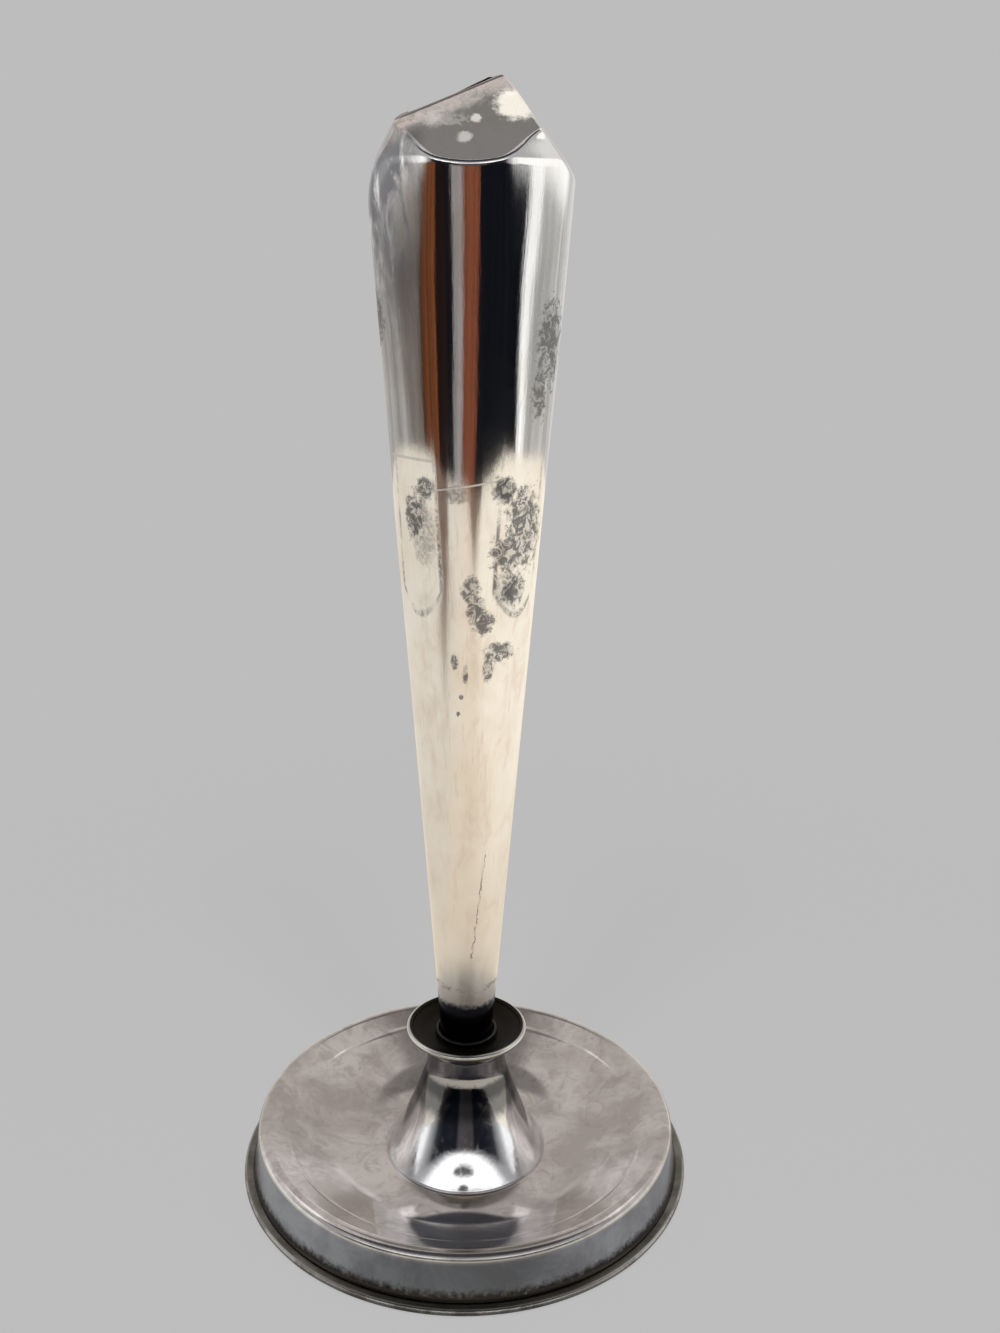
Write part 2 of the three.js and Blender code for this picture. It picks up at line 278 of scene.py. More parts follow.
def cast(azimuth, elevation, base, inset):
    """Points where rays from the axis leave the bud."""
    dx, dy = np.sin(azimuth) * np.cos(elevation), -np.cos(azimuth) * np.cos(elevation)
    dz = np.sin(elevation)
    near = np.zeros_like(dx + base)
    far = near + RAY_REACH
    for _ in range(RAY_HALVINGS):
        middle = (near + far) / 2
        inside = body_field(dx * middle, dy * middle, base + dz * middle, inset) < 0
        near = np.where(inside, middle, near)
        far = np.where(inside, far, middle)
    return np.stack([dx * near, dy * near, base + dz * near], -1)


def rim_elevation(azimuth, base, inset, below):
    """Elevation at which each ray meets the mouth."""
    low = np.zeros_like(azimuth)
    high = low + math.radians(STEEPEST)
    for _ in range(RIM_HALVINGS):
        middle = (low + high) / 2
        p = cast(azimuth, middle, base, inset)
        under = mouth_height(p[..., 0], p[..., 1], p[..., 2]) < -below
        low = np.where(under, middle, low)
        high = np.where(under, high, middle)
    return low


def uneven(points):
    """The wall with the slight waves of handwork, which fade out toward the foot of the body."""
    x, y, z = points[..., 0], points[..., 1], points[..., 2]
    angle = np.arctan2(x, -y)
    wave = sum(size * np.sin(lobes * angle + z / pitch + phase) for size, lobes, pitch, phase in WAVES)
    wave = wave * np.clip((z - WAVE_FOOT) / WAVE_RUN, 0, 1)
    grow = 1 + wave / np.maximum(np.hypot(x, y), WAVE_LEAST_RADIUS)
    return np.stack([x * grow, y * grow, z], -1)


def make_body():
    """The shell: up its outer wall, over the rim of the mouth and down its inner wall."""
    azimuth = np.linspace(0, 2 * math.pi, BODY_SEGMENTS, endpoint=False)
    level = np.zeros_like(azimuth)
    knee = BODY_BEND - KNEE_DROP
    rows = []
    for z in np.linspace(BODY_BOTTOM, knee, WALL_ROWS, endpoint=False):
        rows.append(uneven(cast(azimuth, level, level + z, 0.0)))
    top = rim_elevation(azimuth, knee, 0.0, RIM_SINK)
    for share in np.linspace(0, 1, BUD_ROWS):
        rows.append(uneven(cast(azimuth, top * share, level + knee, 0.0)))
    for inset in (RIM_EDGE, BODY_WALL - RIM_EDGE):
        rim = rim_elevation(azimuth, knee, inset, 0.0)
        rows.append(cast(azimuth, rim, level + knee, inset))
    top = rim_elevation(azimuth, knee, BODY_WALL, RIM_SINK)
    for share in np.linspace(1, 0, INNER_BUD_ROWS):
        rows.append(cast(azimuth, top * share, level + knee, BODY_WALL))
    for z in np.linspace(knee, BODY_BOTTOM, INNER_WALL_ROWS)[1:]:
        rows.append(cast(azimuth, level, level + z, BODY_WALL))
    points, faces = loft(rows)
    points[:, 0] -= LEAN * np.clip((points[:, 2] - LEAN_FOOT) / LEAN_RUN, 0, 1)
    return new_piece("body_shell", points, faces, sharp_angle=55)


# Turned pieces

def dish_line(offset, round_steps, curve_steps):
    """Line of the foot from its shoulder down the spun dish to the neck, set in by an offset."""
    centre = (SKIRT_TOP_RADIUS - SHOULDER_ROUND, SHOULDER_TOP - SHOULDER_ROUND)
    slope = math.atan2(DISH_DEPTH, centre[0] - SPUN_FLOOR_RADIUS)
    shoulder = arc(centre, SHOULDER_ROUND - offset, SKIRT_TURN, 90 + math.degrees(slope), round_steps)
    start = shoulder[-1]
    floor = DISH_FLOOR - offset
    control = (start[0] - (start[1] - floor) / math.tan(slope), floor)
    bend = (control[0] + SPUN_BEND * math.cos(slope), floor + SPUN_BEND * math.sin(slope))
    wall = []
    for radius in np.linspace(start[0], bend[0], 2 * curve_steps)[1:]:
        groove = RING_DEPTH * max(0, 1 - abs(radius - RING_RADIUS) / RING_HALF)
        share = (radius - bend[0]) / (start[0] - bend[0])
        bow = 4 * SPUN_BOW * share * (1 - share)
        wall.append((radius, floor + (radius - control[0]) * math.tan(slope) - groove - bow))
    turn = curve(bend, control, (control[0] - SPUN_BEND, floor), curve_steps)[1:]
    return shoulder + wall + turn + [(NECK_BASE_RADIUS + NECK_SHEET, floor)]


def make_foot():
    """Thin sheet up the swept skirt, over the shoulder and down the dish."""
    skirt_foot = FLANGE_RADIUS - FLANGE_WIDTH
    hole = NECK_BASE_RADIUS - NECK_LAP
    sheet = FOOT_SHEET / 3
    dish = dish_line(0, 16, 32)
    sweep = (dish[0][0] + SKIRT_SWEEP, DISH_UNDER + SKIRT_SWEEP_RISE)
    skirt = curve((skirt_foot, DISH_UNDER), sweep, dish[0], 14)
    outer = skirt + dish[1:] + [(hole, DISH_FLOOR)]
    under = dish_line(sheet, 6, 8)
    inner = [(skirt_foot - FOOT_SHEET, DISH_UNDER)] + under + [(hole, DISH_FLOOR - sheet)]
    return turned("dished_foot", outer + inner[::-1], segments=224, untrue=0.0004)


def make_plate():
    """A plate with a rolled edge, and a raised land over the recess for the nut."""
    half = (PLATE_TOP - FELT_PROUD) / 2
    lip = FLANGE_RADIUS - LIP_WIDTH
    edge = arc((FLANGE_RADIUS - half, FELT_PROUD + half), half, -90, 90, 16)
    outline = [
        (ROD_HOLE, LAND_UNDER),
        (RECESS_RADIUS, LAND_UNDER),
        (RECESS_RADIUS, PLATE_BOTTOM),
        (lip, PLATE_BOTTOM),
        (lip, FELT_PROUD),
        *edge,
        (RECESS_RADIUS + PLATE_SHEET, PLATE_TOP),
        (RECESS_RADIUS + PLATE_SHEET, LAND_UNDER + PLATE_SHEET),
        (ROD_HOLE, LAND_UNDER + PLATE_SHEET),
    ]
    return turned("rolled_plate", outline, segments=224)


def flare_line(steps):
    """Outer line of the neck, leaning out more and more toward its foot."""
    heights, leans = zip(*FLARE)
    rise = np.linspace(0, NECK_HEIGHT, steps + 1)
    lean = np.tan(np.radians(np.interp(rise, heights, leans)))
    inward = np.concatenate([[0], np.cumsum(lean[1:] + lean[:-1])])
    radius = FLARE_RADIUS - (FLARE_RADIUS - NECK_TOP_RADIUS) * inward / inward[-1]
    return list(zip(radius, NECK_BOTTOM + rise))


def make_neck():
    """A flared shell with a hem at its foot and a flat land under the collar."""
    outer = flare_line(72)
    inner = [(r - NECK_SHEET, min(z, NECK_TOP - NECK_SHEET)) for r, z in outer[::4]]
    foot = DISH_FLOOR + SEAT_LINE
    seat = COLLAR_BOTTOM - SEAT_LINE
    hem = [(FLARE_RADIUS - NECK_SHEET, foot), (FLARE_RADIUS, foot)]
    land = [(NECK_TOP_RADIUS, seat), (ROD_HOLE, seat), (ROD_HOLE, NECK_TOP - NECK_SHEET)]
    return turned("flared_neck", hem + outer + land + inner[:0:-1], segments=160)


def make_collar():
    """A small dish with a rolled rim."""
    half = COLLAR_ROLL / 2
    bead = (COLLAR_RADIUS - half, COLLAR_RIM - half)
    under = curve(
        (COLLAR_SEAT_RADIUS, COLLAR_BOTTOM),
        (COLLAR_SEAT_RADIUS + half, COLLAR_BOTTOM + COLLAR_THICKNESS / 2),
        (bead[0], bead[1] - half),
        18,
    )
    roll = arc(bead, half, -90, 180, 22)[1:]
    well = curve(
        (bead[0] - half, bead[1]),
        (COLLAR_RADIUS - 2 * COLLAR_ROLL, COLLAR_FLOOR),
        (COLLAR_SEAT_RADIUS, COLLAR_FLOOR),
        18,
    )[1:]
    outline = [(ROD_HOLE, COLLAR_BOTTOM), *under, *roll, *well, (ROD_HOLE, COLLAR_FLOOR)]
    return turned("rolled_collar", outline, segments=160, untrue=0.0008)


def make_bead():
    """A ring of solder round the foot of the body."""
    half = BEAD_SECTION / 2
    height = BODY_BOTTOM + half
    ring = wall_radius(height + half) + SEAT_GAP + half
    section = arc((ring, height), half, 0, 345, 23)
    return turned("solder_bead", section, segments=96, untrue=0.006)


def make_felt():
    """A disc inside the rolled edge of the plate."""
    radius = FLANGE_RADIUS - LIP_WIDTH - SEAT_GAP
    half = FELT_THICKNESS / 2
    pinhole = 0.05
    under = [(r, 0.0) for r in (pinhole, 12.0, 26.0, 38.0)]
    edge = arc((radius - half, half), half, -90, 90, 8)
    over = [(r, FELT_THICKNESS) for r in (38.0, 20.0, pinhole)]
    return turned("felt_disc", under + edge + over, segments=128)


# Colours of the plate, its wear, painted shade and reflection, and the pieces inside
PLATE = (0.87, 0.855, 0.83)
PLATE_WARM = (0.82, 0.775, 0.72)
PLATE_LOW = (0.66, 0.62, 0.57)
BLUSH = (0.69, 0.60, 0.55)
SCRATCH = (0.56, 0.47, 0.40)
BLOOM = (0.17, 0.17, 0.185)
SMUDGE = (0.40, 0.39, 0.385)
TARNISH_BLACK = (0.048, 0.047, 0.050)
STEM_BLACK = (0.030, 0.034, 0.042)
BAND_BROWN = (0.62, 0.525, 0.475)
RESIDUE_CREAM = (0.70, 0.655, 0.58)
# Painted shade along the edge of the mouth
MOUTH_EDGE_PAINTED_SHADE = (0.06, 0.045, 0.04)
NECK_LIGHT = (0.80, 0.805, 0.82)
NECK_DULL = (0.66, 0.65, 0.66)
# Painted darker reflection up the neck, and its lighter ring
NECK_PAINTED_REFLECTION = (0.21, 0.215, 0.225)
NECK_PAINTED_REFLECTION_DARK = (0.095, 0.10, 0.108)
NECK_PAINTED_REFLECTION_RING = (0.36, 0.365, 0.38)
DISH_LIGHT = (0.72, 0.67, 0.645)
DISH_TAUPE = (0.50, 0.455, 0.425)
DISH_PATCH = (0.40, 0.355, 0.33)
DISH_FLECK = (0.28, 0.24, 0.21)
SKIRT_LIGHT = (0.60, 0.61, 0.62)
SKIRT_DARK = (0.42, 0.42, 0.43)
SKIRT_BLACK = (0.05, 0.045, 0.04)
BLACKENED = (0.24, 0.225, 0.20)
BLACKENED_DEEP = (0.13, 0.12, 0.10)
# Painted shade in the well of the collar
WELL_PAINTED_SHADE = (0.020, 0.016, 0.012)
WORN = (0.60, 0.585, 0.55)
SOLDER = (0.045, 0.041, 0.035)
SOLDER_DARK = (0.022, 0.020, 0.016)
BRASS = (0.70, 0.52, 0.26)
BRASS_DARK = (0.50, 0.36, 0.18)
STEEL = (0.52, 0.52, 0.53)
STEEL_DARK = (0.38, 0.38, 0.39)
FILLER = (0.62, 0.60, 0.56)
FILLER_DARK = (0.42, 0.40, 0.37)
FELT = (0.06, 0.08, 0.062)
FELT_DARK = (0.022, 0.032, 0.024)


# Materials

class Graph:
    """Short hand for the nodes of one material or world."""

    def __init__(self, tree):
        self.tree = tree
        self.tree.nodes.clear()

    def put(self, socket, value):
        """Link a socket to an input, or set the input to a number, a vector or an opaque colour."""
        if isinstance(value, bpy.types.NodeSocket):
            self.tree.links.new(value, socket)
        elif socket.type == "RGBA":
            socket.default_value = (*value, 1.0)
        else:
            socket.default_value = value

    def add(self, kind, inputs=None, **settings):
        node = self.tree.nodes.new(kind)
        for key, value in settings.items():
            setattr(node, key, value)
        for key, value in (inputs or {}).items():
            self.put(node.inputs[key], value)
        return node

    def math(self, operation, a, b=0.0, clamp=False):
        return self.add("ShaderNodeMath", {0: a, 1: b}, operation=operation, use_clamp=clamp).outputs[0]

    def plus(self, a, b):
        return self.math("ADD", a, b)

    def minus(self, a, b, clamp=False):
        return self.math("SUBTRACT", a, b, clamp)

    def most(self, a, b):
        return self.math("MAXIMUM", a, b)

    def times(self, *factors):
        product = factors[0]
        for factor in factors[1:]:
            product = self.math("MULTIPLY", product, factor)
        return product

    def jitter(self, value, grain, reach):
        """A value shifted both ways by a grain of about 0 to 1."""
        return self.plus(value, self.times(self.minus(grain, 0.5), reach))

    def vector(self, operation, a, b):
        return self.add("ShaderNodeVectorMath", {0: a, 1: b}, operation=operation).outputs["Vector"]

    def scaled(self, vector, scale):
        inputs = {0: vector, "Scale": scale}
        return self.add("ShaderNodeVectorMath", inputs, operation="SCALE").outputs["Vector"]

    def length(self, vector):
        return self.add("ShaderNodeVectorMath", {0: vector}, operation="LENGTH").outputs["Value"]

    def split(self, vector):
        return self.add("ShaderNodeSeparateXYZ", {0: vector}).outputs

    def join(self, x, y=0.0):
        return self.add("ShaderNodeCombineXYZ", {0: x, 1: y}).outputs[0]

    def stretch(self, vector, scale):
        return self.add("ShaderNodeMapping", {"Vector": vector, "Scale": scale}).outputs[0]

    def ramp(self, share, stops):
        """Colours round the axis, from stops of azimuth in degrees and colour."""
        node = self.add("ShaderNodeValToRGB", {0: share})
        elements = node.color_ramp.elements
        while len(elements) < len(stops):
            elements.new(0.5)
        for element, (azimuth, colour) in zip(elements, stops):
            element.position = azimuth / 360 + 0.5
            element.color = (*colour, 1.0)
        return node.outputs[0]

    def fade(self, value, low, high):
        """0 below low, 1 above high, smooth between."""
        inputs = {"Value": value, "From Min": low, "From Max": high}
        return self.add("ShaderNodeMapRange", inputs, interpolation_type="SMOOTHSTEP").outputs[0]

    def mix(self, share, a, b):
        """A share between two colours."""
        return self.add("ShaderNodeMix", {0: share, 6: a, 7: b}, data_type="RGBA").outputs[2]

    def blend(self, share, a, b):
        """A share between two numbers."""
        return self.add("ShaderNodeMix", {0: share, 2: a, 3: b}, data_type="FLOAT").outputs[0]

    def noise(self, vector, scale, detail=4.0, roughness=0.55, distortion=0.0):
        inputs = {"Vector": vector, "Scale": scale, "Detail": detail}
        inputs.update({"Roughness": roughness, "Distortion": distortion})
        return self.add("ShaderNodeTexNoise", inputs).outputs["Fac"]

    def bump(self, height, strength, distance):
        inputs = {"Height": height, "Strength": strength, "Distance": distance * MM}
        return self.add("ShaderNodeBump", inputs).outputs[0]

    def spot(self, point, centre, size, ragged=0.0, grain=0.5):
        """1 inside an uneven spot about a centre, fading out at its edge."""
        reach = self.length(self.vector("DIVIDE", self.vector("SUBTRACT", point, centre), size))
        return self.fade(self.jitter(reach, grain, ragged), 1.2, 0.66)

    def line(self, across, along, low, high, width):
        """1 on a thin line where the value across is near zero, between two ends along it."""
        taper = 0.8
        thin = self.fade(self.math("ABSOLUTE", across), width, 0.4 * width)
        return self.times(thin, self.fade(along, low, low + taper), self.fade(along, high, high - taper))

    def merge(self, share, a, b):
        """A share between two shaders."""
        return self.add("ShaderNodeMixShader", {0: share, 1: a, 2: b}).outputs[0]


def start_material(name):
    """A new material, its graph and its object coordinates in millimetres."""
    material = bpy.data.materials.new(name)
    material.use_nodes = True
    graph = Graph(material.node_tree)
    return material, graph, graph.scaled(graph.add("ShaderNodeTexCoord").outputs["Object"], 1 / MM)


def end_material(graph, colour, roughness, metallic=1.0, normal=None, **extra):
    """The surface that a graph ends in."""
    inputs = {"Base Color": colour, "Roughness": roughness, "Metallic": metallic, **extra}
    if normal is not None:
        inputs["Normal"] = normal
    shader = graph.add("ShaderNodeBsdfPrincipled", inputs)
    graph.add("ShaderNodeOutputMaterial", {0: shader.outputs[0]})


def round_place(g, place):
    """Distance from the axis and height."""
    x, y, z = g.split(place)
    return g.math("SQRT", g.plus(g.times(x, x), g.times(y, y))), z


def turned_place(g, x, y, azimuth):
    """Distances along an azimuth and across it."""
    ex, ey = heading(azimuth)
    return g.plus(g.times(x, ex), g.times(y, ey)), g.plus(g.times(x, -ey), g.times(y, ex))


def on_wall(azimuth, z):
    """Point of the round wall of the body."""
    ex, ey = heading(azimuth)
    return wall_radius(z) * ex, wall_radius(z) * ey, z


# Tarnish on the body: azimuth, height, half width, half height, raggedness
TARNISH = (
    (61, 163.0, 2.6, 7.0, 2.6),
    (52, 154.5, 1.4, 4.0, 2.6),
    (47, 132.5, 3.0, 7.0, 2.4),
    (34, 128.5, 3.2, 3.4, 2.4),
    (40, 122.0, 2.0, 3.0, 2.4),
    (27, 139.5, 1.9, 2.4, 1.4),
    (-33, 139.6, 1.5, 2.0, 1.4),
    (-46, 134.5, 1.6, 4.0, 2.0),
    (2, 122.5, 1.7, 2.3, 1.6),
    (6, 119.0, 1.5, 2.8, 2.0),
    (13, 116.5, 2.0, 2.2, 2.2),
    (29, 110.7, 2.7, 1.8, 2.4),
    (19, 107.7, 1.0, 2.3, 1.8),
    (-12, 109.3, 0.6, 1.5, 1.2),
    (-2, 107.0, 0.5, 1.7, 1.2),
    (-6, 102.8, 0.4, 0.6, 0.8),
    (-9, 99.5, 0.35, 0.5, 0.8),
    (-81, 166.5, 1.8, 5.0, 2.2),
)

# Grey smudges on the body: azimuth, height, half width, half depth, half height
SMUDGES = (
    (-38, 132.0, 2.6, 4.0, 6.0),
    (31, 122.5, 2.2, 4.0, 3.0),
    (-8, 139.0, 2.8, 4.0, 1.6),
    (27, 139.5, 2.2, 4.0, 2.2),
)

# Pale residue on the front leaf: x, height, half width, half height, raggedness, strength
RESIDUE = (
    (6.9, 199.4, 3.6, 3.0, 1.2, 1.0),
    (0.6, 197.0, 0.9, 0.7, 1.6, 0.6),
    (-1.1, 194.0, 1.2, 0.9, 1.6, 0.4),
    (-5.0, 196.8, 4.4, 1.0, 3.0, 0.16),
)


def toe_crease_shade(g, place, azimuth):
    """1 along the edge of a flat about its toe: painted shade in the crease there."""
    x, y, z = g.split(place)
    tip = BODY_BEND - FLAT_LENGTH
    out, across = turned_place(g, x, y, azimuth)
    bulge = g.math("DIVIDE", g.times(across, across), 4 * wall_radius(tip + 8))
    rise = g.times(g.minus(z, tip), FLAT_TOE_DEPTH / TOE_RUN)
    away = g.minus(bulge, g.math("MINIMUM", rise, FLAT_TOE_DEPTH))
    thin = g.fade(g.math("ABSOLUTE", away), 0.10, 0.02)
    return g.times(thin, g.fade(z, tip + 34, tip + 8), g.fade(out, 3.0, 5.0))


def smudge_mask(g, place, grain):
    """1 in the grey smudges by the toes of the flats."""
    smudge = 0.0
    for azimuth, height, *size in SMUDGES:
        smudge = g.most(smudge, g.spot(place, on_wall(azimuth, height), size, 1.6, grain))
    return smudge


def tarnish_and_shade_mask(g, place, front, blotch, grain):
    """1 in dark tarnish round the foot of the stem, in spots and along a crack, and in painted shade about
    the toes.
    """
    x, _, z = g.split(place)
    sag = g.jitter(z, blotch, 3.0)
    dark = g.times(g.fade(sag, 42.5, 41.8), g.fade(sag, 40.7, 41.4), g.fade(grain, 0.44, 0.56), 0.8)
    for azimuth, height, wide, tall, ragged in TARNISH:
        size = (wide, 2 * wide + 1, tall)
        dark = g.most(dark, g.spot(place, on_wall(azimuth, height), size, ragged, grain))
    wander = g.jitter(x, g.noise(place, 0.45, 3.0), 1.6)
    crack = g.minus(wander, g.times(g.minus(z, 39.0), 0.105))
    crack = g.times(g.line(crack, z, 48.5, 71.5, 0.15), front, g.fade(grain, 0.36, 0.48))
    dark = g.most(dark, g.times(crack, 0.8))
    # Painted shade along the crease at the toe of each front flat
    for azimuth in (FLAT_AZIMUTHS[0], FLAT_AZIMUTHS[3]):
        dark = g.most(dark, g.times(toe_crease_shade(g, place, azimuth), g.fade(blotch, 0.38, 0.58), 0.9))
    return dark


def residue_mask(g, place, front, grain):
    """1 in pale residue: two thin dried lines and spots on the front leaf."""
    x, y, z = g.split(place)
    level = g.times(g.fade(z, 143.95, 144.1), g.fade(z, 144.55, 144.4), g.fade(x, -5.9, -6.6), 0.5)
    level = g.times(level, g.fade(y, -4.0, -6.5))
    slanted = g.minus(z, g.plus(g.times(x, 0.165), 140.35))
    pale = g.most(level, g.times(g.line(slanted, x, -8.4, 4.6, 0.22), front, 0.45))
    slope = math.tan(math.radians(LEAVES[0][1]))
    for across, height, wide, tall, ragged, strength in RESIDUE:
        depth = (BODY_BEND - height) / slope + BODY_TOP_RADIUS
        spot = g.spot(place, (across, -depth, height), (wide, 6.0, tall), ragged, grain)
        pale = g.most(pale, g.times(spot, strength))
    return pale


def above_mouth(g, place):
    """Distance above the slanted plane of the mouth."""
    ex, ey = heading(MOUTH_AZIMUTH)
    tilt = math.radians(MOUTH_SLOPE)
    slant = (ex * math.sin(tilt), ey * math.sin(tilt), math.cos(tilt))
    along = g.add("ShaderNodeVectorMath", {0: place, 1: slant}, operation="DOT_PRODUCT").outputs["Value"]
    return g.minus(along, (BODY_BEND + MOUTH_RISE) * math.cos(tilt))


def silver_material():
    """Polished plate of the body with its wear, and painted shade along the mouth and about the toes of the
    flats.
    """
    material, g, place = start_material("worn_silver_plate")
    x, y, z = g.split(place)
    cloud = g.noise(place, 0.06, 5.0, 0.6)
    blotch = g.noise(g.stretch(place, (1.0, 1.0, 0.4)), 0.22, 7.0, 0.64, 0.6)
    streak = g.noise(g.stretch(place, (1.0, 1.0, 0.035)), 1.7, 4.0, 0.65)
    grain = g.noise(place, 0.85, 6.0, 0.68)
    speck = g.noise(place, 0.62, 7.0, 0.70, 0.9)
    low = g.fade(z, 150.0, 118.0)
    front = g.fade(y, 0.0, -1.0)

    # Plate, with a warm blush low down and fine upright scratches
    colour = g.mix(g.fade(cloud, 0.4, 0.7), PLATE, PLATE_WARM)
    blush = g.times(g.fade(blotch, 0.47, 0.72), g.blend(low, 0.15, 0.75))
    colour = g.mix(blush, colour, BLUSH)
    scratch = g.times(g.fade(streak, 0.56, 0.74), g.blend(low, 0.12, 0.42))
    colour = g.mix(scratch, colour, SCRATCH)
    colour = g.mix(g.times(g.fade(z, 105.0, 55.0), 0.5), colour, PLATE_LOW)
    rough = g.blend(low, 0.055, 0.16)
    rough = g.plus(rough, g.times(g.fade(cloud, 0.35, 0.75), 0.05))

    # Grey bloom on the left shoulder, and smudges
    bloom = g.times(g.fade(x, -6.0, -11.0), g.fade(z, 152.0, 184.0), g.fade(blotch, 0.30, 0.54))
    colour = g.mix(g.times(bloom, 0.9), colour, BLOOM)
    rough = g.blend(g.times(bloom, 0.8), rough, 0.26)
    smudge = g.times(smudge_mask(g, place, grain), g.blend(g.fade(speck, 0.40, 0.58), 0.25, 0.75))
    colour = g.mix(smudge, colour, SMUDGE)
    rough = g.blend(smudge, rough, 0.3)

    # Dark tarnish with painted shade about the toes of the flats, and a black stem foot inside the collar
    dark = tarnish_and_shade_mask(g, place, front, blotch, grain)
    dark = g.times(dark, g.blend(g.fade(speck, 0.42, 0.52), 0.22, 0.78))
    colour = g.mix(dark, colour, TARNISH_BLACK)
    rough = g.blend(dark, rough, 0.42)
    colour = g.mix(g.fade(g.jitter(z, grain, 3.0), BODY_BOTTOM + 9.3, BODY_BOTTOM + 7.9), colour, STEM_BLACK)

    # Brown band under the rim, pale residue, and painted shade along the edge of the mouth
    above = above_mouth(g, place)
    band = g.times(g.fade(g.jitter(above, blotch, 7.0), -3.2, -0.4), g.fade(z, 192.0, 193.5), front)
    band = g.times(band, g.blend(g.fade(speck, 0.35, 0.6), 0.55, 1.0))
    colour = g.mix(g.times(band, 0.85), colour, BAND_BROWN)
    pale = residue_mask(g, place, front, grain)
    colour = g.mix(pale, colour, RESIDUE_CREAM)
    # Painted shade: a thin dark line along the edge of the mouth, where the dark inside shows
    edge = g.times(g.fade(above, -0.20, -0.10), g.fade(above, 0.5, 0.2))
    colour = g.mix(g.times(edge, 0.85), colour, MOUTH_EDGE_PAINTED_SHADE)
    rough = g.blend(g.most(pale, g.times(band, 0.7)), rough, 0.5)
    metal = g.minus(1.0, g.most(g.times(pale, 0.9), g.times(dark, 0.5)), clamp=True)
    metal = g.minus(metal, g.times(band, 0.5), clamp=True)
    end_material(g, colour, rough, metal, g.bump(g.plus(streak, g.times(blotch, 0.5)), 0.055, 0.2))
    return material


def neck_material():
    """Polished plate of the neck, with a painted darker reflection up it."""
    material, g, place = start_material("polished_silver_plate")
    _, z = round_place(g, place)
    cloud = g.noise(place, 0.12, 6.0, 0.62)
    smear = g.noise(g.stretch(place, (1.0, 1.0, 0.5)), 0.5, 6.0, 0.66, 0.8)
    colour = g.mix(g.fade(cloud, 0.4, 0.68), NECK_LIGHT, NECK_DULL)

    # Painted darker reflection up the neck, and a painted lighter ring of reflection under the collar
    rise = g.jitter(g.minus(z, NECK_BOTTOM), smear, 2.0)
    colour = g.mix(g.fade(rise, 10.3, 13.3), colour, NECK_PAINTED_REFLECTION)
    colour = g.mix(g.fade(rise, 14.3, 16.1), colour, NECK_PAINTED_REFLECTION_DARK)
    colour = g.mix(g.fade(rise, 17.5, 18.7), colour, NECK_PAINTED_REFLECTION_RING)
    rough = g.blend(g.fade(smear, 0.45, 0.75), 0.05, 0.17)
    end_material(g, colour, rough, 1.0, g.bump(smear, 0.03, 0.3))
    return material


def satin_material():
    """Dulled plate of the foot."""
    material, g, place = start_material("satin_silver_plate")
    radius, z = round_place(g, place)
    cloud = g.noise(place, 0.07, 7.0, 0.66, 0.5)
    fleck = g.noise(place, 0.9, 6.0, 0.7)
    patch = g.noise(place, 0.24, 6.0, 0.68, 0.8)
    spun = g.noise(g.join(g.times(radius, 2.2)), 1.0, 4.0, 0.7)

    # Dish, mottled taupe with a few dark flecks
    colour = g.mix(g.fade(cloud, 0.36, 0.64), DISH_LIGHT, DISH_TAUPE)
    colour = g.mix(g.times(g.fade(patch, 0.48, 0.66), 0.55), colour, DISH_PATCH)
    colour = g.mix(g.times(g.fade(fleck, 0.60, 0.72), 0.55), colour, DISH_FLECK)
    rough = g.blend(g.fade(cloud, 0.3, 0.7), 0.09, 0.17)
    rough = g.plus(rough, g.times(g.fade(spun, 0.5, 0.7), 0.04))

    # Skirt, darker and cooler, black toward the flange
    outside = g.fade(radius, SKIRT_TOP_RADIUS - 1.0, SKIRT_TOP_RADIUS - 0.3)
    outside = g.times(outside, g.fade(z, SHOULDER_TOP - 0.4, SHOULDER_TOP - 1.2))
    skirt = g.mix(g.fade(cloud, 0.38, 0.62), SKIRT_LIGHT, SKIRT_DARK)
    skirt = g.mix(g.fade(g.jitter(z, fleck, 3.0), DISH_UNDER + 2.4, DISH_UNDER + 0.6), skirt, SKIRT_BLACK)
    colour = g.mix(outside, colour, skirt)
    rough = g.blend(outside, rough, 0.22)
    end_material(g, colour, rough, g.blend(outside, 0.96, 1.0))
    return material


